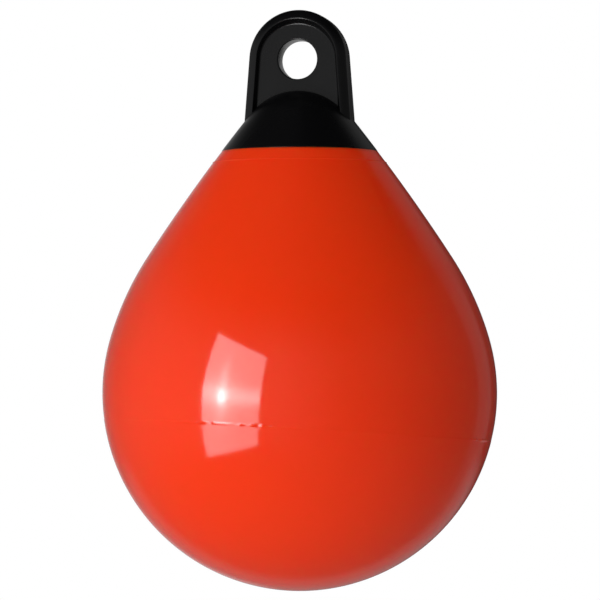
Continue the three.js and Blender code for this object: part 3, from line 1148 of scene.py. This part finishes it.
def surroundings_material():
    """The room as the gloss shows it: brighter on the left and behind, with a faint strip on the right."""
    made, wire = empty_material("surroundings")
    place = wire.add("ShaderNodeTexCoord").outputs["Object"]
    axes = wire.add("ShaderNodeSeparateXYZ", Vector=place).outputs
    turn = wire.maths("ARCTAN2", axes["X"], wire.times(axes["Y"], -1.0))
    along = wire.plus(wire.maths("DIVIDE", turn, TAU), 0.5)
    ramp = wire.tree.nodes.new("ShaderNodeValToRGB")
    wire.feed(ramp.inputs[0], along)
    stops = ramp.color_ramp.elements
    while len(stops) < len(ROOM):
        stops.new(0.5)
    for stop, (degrees, level) in zip(stops, ROOM):
        stop.position = degrees / 360 + 0.5
        stop.color = (level, level, level, 1)
    under_ceiling = wire.spread(axes["Z"], 0.30, 0.75, 1.0, 0.07)
    over_floor = wire.spread(axes["Z"], -0.70, -0.15)
    walls = wire.times(ramp.outputs["Color"], wire.times(under_ceiling, over_floor))
    ground = wire.times(wire.maths("SUBTRACT", 1.0, over_floor), GROUND_GLOW)
    right = wire.times(wire.spread(along, 0.835, 0.875), wire.spread(along, 0.925, 0.95, 1.0, 0.0))
    strip = wire.times(right, wire.spread(axes["Z"], 0.60, 0.97, STRIP_GLOW, 0.0))
    strip = wire.times(strip, wire.spread(axes["Z"], 0.05, 0.40))
    behind = wire.spread(axes["Y"], 0.42, 0.78)
    behind = wire.times(behind, wire.spread(axes["Z"], -0.32, -0.14, 1.0, 0.0))
    behind = wire.times(behind, BEHIND_GLOW)
    strength = wire.maths("MAXIMUM", wire.plus(walls, ground), behind)
    strength = wire.maths("MAXIMUM", strength, strip)
    wire.add("ShaderNodeOutputMaterial", Surface=wire.white_glow(strength).outputs[0])
    made.cycles.emission_sampling = "NONE"
    return made


def build_surroundings():
    """A wide shell round the studio that only the gloss sees."""
    profile = arc((0, 0), 1.0, -math.pi / 2, math.pi / 2, 48)
    profile[0][0] = profile[-1][0] = 0
    shell = turned("surroundings", profile)
    shell.scale = (ROOM_RADIUS, ROOM_RADIUS, ROOM_RADIUS)
    shell.location = ball_centre()
    shell.rotation_euler.z = sizes("fender_studio").camera_azimuth
    shell.data.materials.append(surroundings_material())
    seen_only_in_gloss(shell)


# Corners of the softbox, from the lower left round, as metres to the right of the ball's centre, towards
# the camera and up.
SOFTBOX = (
    (-0.1277, 0.1318, -0.0832), (-0.0629, 0.1858, -0.0725),
    (-0.0523, 0.1993, 0.0634), (-0.1188, 0.1450, 0.0894),
)

# Height of the eye's hole above the ball's centre.
EYE_RISE = -BALL_CENTRE_Z

# Corners, given in the same way, of a small white card behind the eye, which the wall of the hole mirrors.
HOLE_CARD = (
    (-0.050, -0.125, EYE_RISE - 0.045), (0.044, -0.125, EYE_RISE - 0.045),
    (0.044, -0.125, EYE_RISE + 0.032), (-0.050, -0.125, EYE_RISE + 0.032),
)

# Brightness of the softbox's cloth at its left and at its right. Then the band across it: its middle and
# half width, as shares of the softbox's height, and its brightness.
CLOTH_LEFT = 5.2
CLOTH_RIGHT = 4.4
BAND = (0.52, 0.085)
BAND_GLOW = 4.6

# Soft spots of light that the lamp makes on the softbox: middle and half width across, middle and half
# width up, all as shares of the softbox, and brightness.
LAMP_SPOTS = (
    (0.34, 0.26, 0.50, 0.20, 2.8),
    (0.34, 0.065, 0.55, 0.20, 5.0),
    (0.34, 0.080, 0.50, 0.055, 16.0),
)


def softbox_material():
    """A softbox with its lamp behind the cloth, a bright band across it and the lamp's soft spots."""
    made, wire = empty_material("softbox")
    place = wire.add("ShaderNodeUVMap").outputs["UV"]
    axes = wire.add("ShaderNodeSeparateXYZ", Vector=place).outputs

    def bell(value, middle, width):
        apart = wire.maths("DIVIDE", wire.maths("SUBTRACT", value, middle), width)
        return wire.maths("EXPONENT", wire.times(wire.times(apart, apart), -1.0))

    cloth = wire.spread(axes["X"], 0.0, 1.0, CLOTH_LEFT, CLOTH_RIGHT)
    cloth = wire.times(cloth, wire.spread(axes["Y"], 0.25, 0.30, 0.88, 1.0))
    total = wire.plus(cloth, wire.times(bell(axes["Y"], *BAND), BAND_GLOW))
    for across, width, up, height, brightness in LAMP_SPOTS:
        spot = wire.times(bell(axes["X"], across, width), bell(axes["Y"], up, height))
        total = wire.plus(total, wire.times(spot, brightness))
    wire.add("ShaderNodeOutputMaterial", Surface=wire.white_glow(total).outputs[0])
    return made


def gloss_card(name, corners, material, steps=12):
    """A card between four corners, from the lower left round, that only the gloss sees."""
    low_left, low_right, high_right, high_left = [
        ball_centre() + heading(90, 0) * right + heading(0, 0) * towards + Vector((0, 0, up))
        for right, towards, up in corners
    ]
    points, places = [], []
    for rise in np.linspace(0, 1, steps + 1):
        for across in np.linspace(0, 1, steps + 1):
            low = low_left.lerp(low_right, across)
            high = high_left.lerp(high_right, across)
            points.append(low.lerp(high, rise)[:])
            places.append((across, rise))
    faces = [
        (first, first + 1, first + steps + 2, first + steps + 1)
        for row in range(steps) for first in range(row * (steps + 1), row * (steps + 1) + steps)
    ]
    card = new_object(name, points, faces)
    uv = card.data.uv_layers.new(name="UVMap")
    for loop in card.data.loops:
        uv.data[loop.index].uv = places[loop.vertex_index]
    card.data.materials.append(material)
    seen_only_in_gloss(card)


# The studio's soft lights: azimuth and elevation in degrees, distance, width and height.
LIGHTS = {
    "key": (-30, 5, 1.5, 1.1, 2.2),
    "side": (-88, 5, 1.5, 1.1, 2.2),
    "top": (-40, 40, 1.5, 1.1, 2.2),
    "bounce": (-35, -35, 0.45, 0.5, 0.1),
}


def plain_glow(name, strength):
    made, wire = empty_material(name)
    wire.add("ShaderNodeOutputMaterial", Surface=wire.white_glow(strength).outputs[0])
    return made


class FENDER_OT_ball(Operator):
    """Build the red ball with its parting line and collar"""

    bl_idname = "fender.ball"
    bl_label = "Ball"

    def execute(self, context):
        build_ball(workshop().red_pvc())
        return {"FINISHED"}


class FENDER_OT_cap(Operator):
    """Build the black cap with the rope eye"""

    bl_idname = "fender.cap"
    bl_label = "Eye cap"

    def execute(self, context):
        build_cap(workshop().black_pvc())
        return {"FINISHED"}


class FENDER_OT_valve(Operator):
    """Build the valve's bush, sealing ring and screw"""

    bl_idname = "fender.valve"
    bl_label = "Air valve"

    def execute(self, context):
        finish = sizes("fender_finish")
        build_bush(workshop().hard_plastic("valve_nylon", finish.nylon, 0.38, 0.50))
        build_washer(workshop().seal_rubber())
        build_plug(workshop().hard_plastic("screw_nylon", finish.screw, 0.34, 0.46))
        return {"FINISHED"}


class FENDER_OT_studio(Operator):
    """Set up the floor, the lights and the camera"""

    bl_idname = "fender.studio"
    bl_label = "Studio"

    def execute(self, context):
        studio = sizes("fender_studio")
        context.scene.view_settings.view_transform = "Standard"
        build_world()
        build_floor()
        build_surroundings()
        gloss_card("softbox", SOFTBOX, softbox_material())
        gloss_card("hole_card", HOLE_CARD, plain_glow("white_card", studio.hole_card))
        for name, place in LIGHTS.items():
            soft_light(name, *place, getattr(studio, name))
        build_camera()
        return {"FINISHED"}


class FENDER_PT_panel(Panel):
    """Lists the fender's parts and its studio"""

    bl_idname = "FENDER_PT_panel"
    bl_label = "Ball fender"
    bl_space_type = "VIEW_3D"
    bl_region_type = "UI"
    bl_category = "Fender"

    def draw(self, context):
        for operator in OPERATORS:
            self.layout.operator(operator.bl_idname)
        for group in GROUPS:
            values = getattr(context.scene, group)
            box = self.layout.box()
            box.label(text=values.__class__.__doc__)
            for name in values.__class__.__annotations__:
                box.prop(values, name)


OPERATORS = (FENDER_OT_ball, FENDER_OT_cap, FENDER_OT_valve, FENDER_OT_studio)
GROUPS = {
    "fender_outline": FenderOutline,
    "fender_ball": BallDetails,
    "fender_eye": EyeShape,
    "fender_valve": ValveShape,
    "fender_finish": FenderFinish,
    "fender_studio": StudioSetup,
}


def register():
    for group, kind in GROUPS.items():
        bpy.utils.register_class(kind)
        setattr(bpy.types.Scene, group, PointerProperty(type=kind))
    for kind in (*OPERATORS, FENDER_PT_panel):
        bpy.utils.register_class(kind)


def unregister():
    for kind in (FENDER_PT_panel, *reversed(OPERATORS)):
        bpy.utils.unregister_class(kind)
    for group, kind in GROUPS.items():
        delattr(bpy.types.Scene, group)
        bpy.utils.unregister_class(kind)


def corners(box):
    return [[float(value) for value in corner] for corner in box]


def main():
    register()
    bpy.ops.fender.ball()
    bpy.ops.fender.cap()
    bpy.ops.fender.valve()
    bpy.ops.fender.studio()


if __name__ == "__main__":
    main()
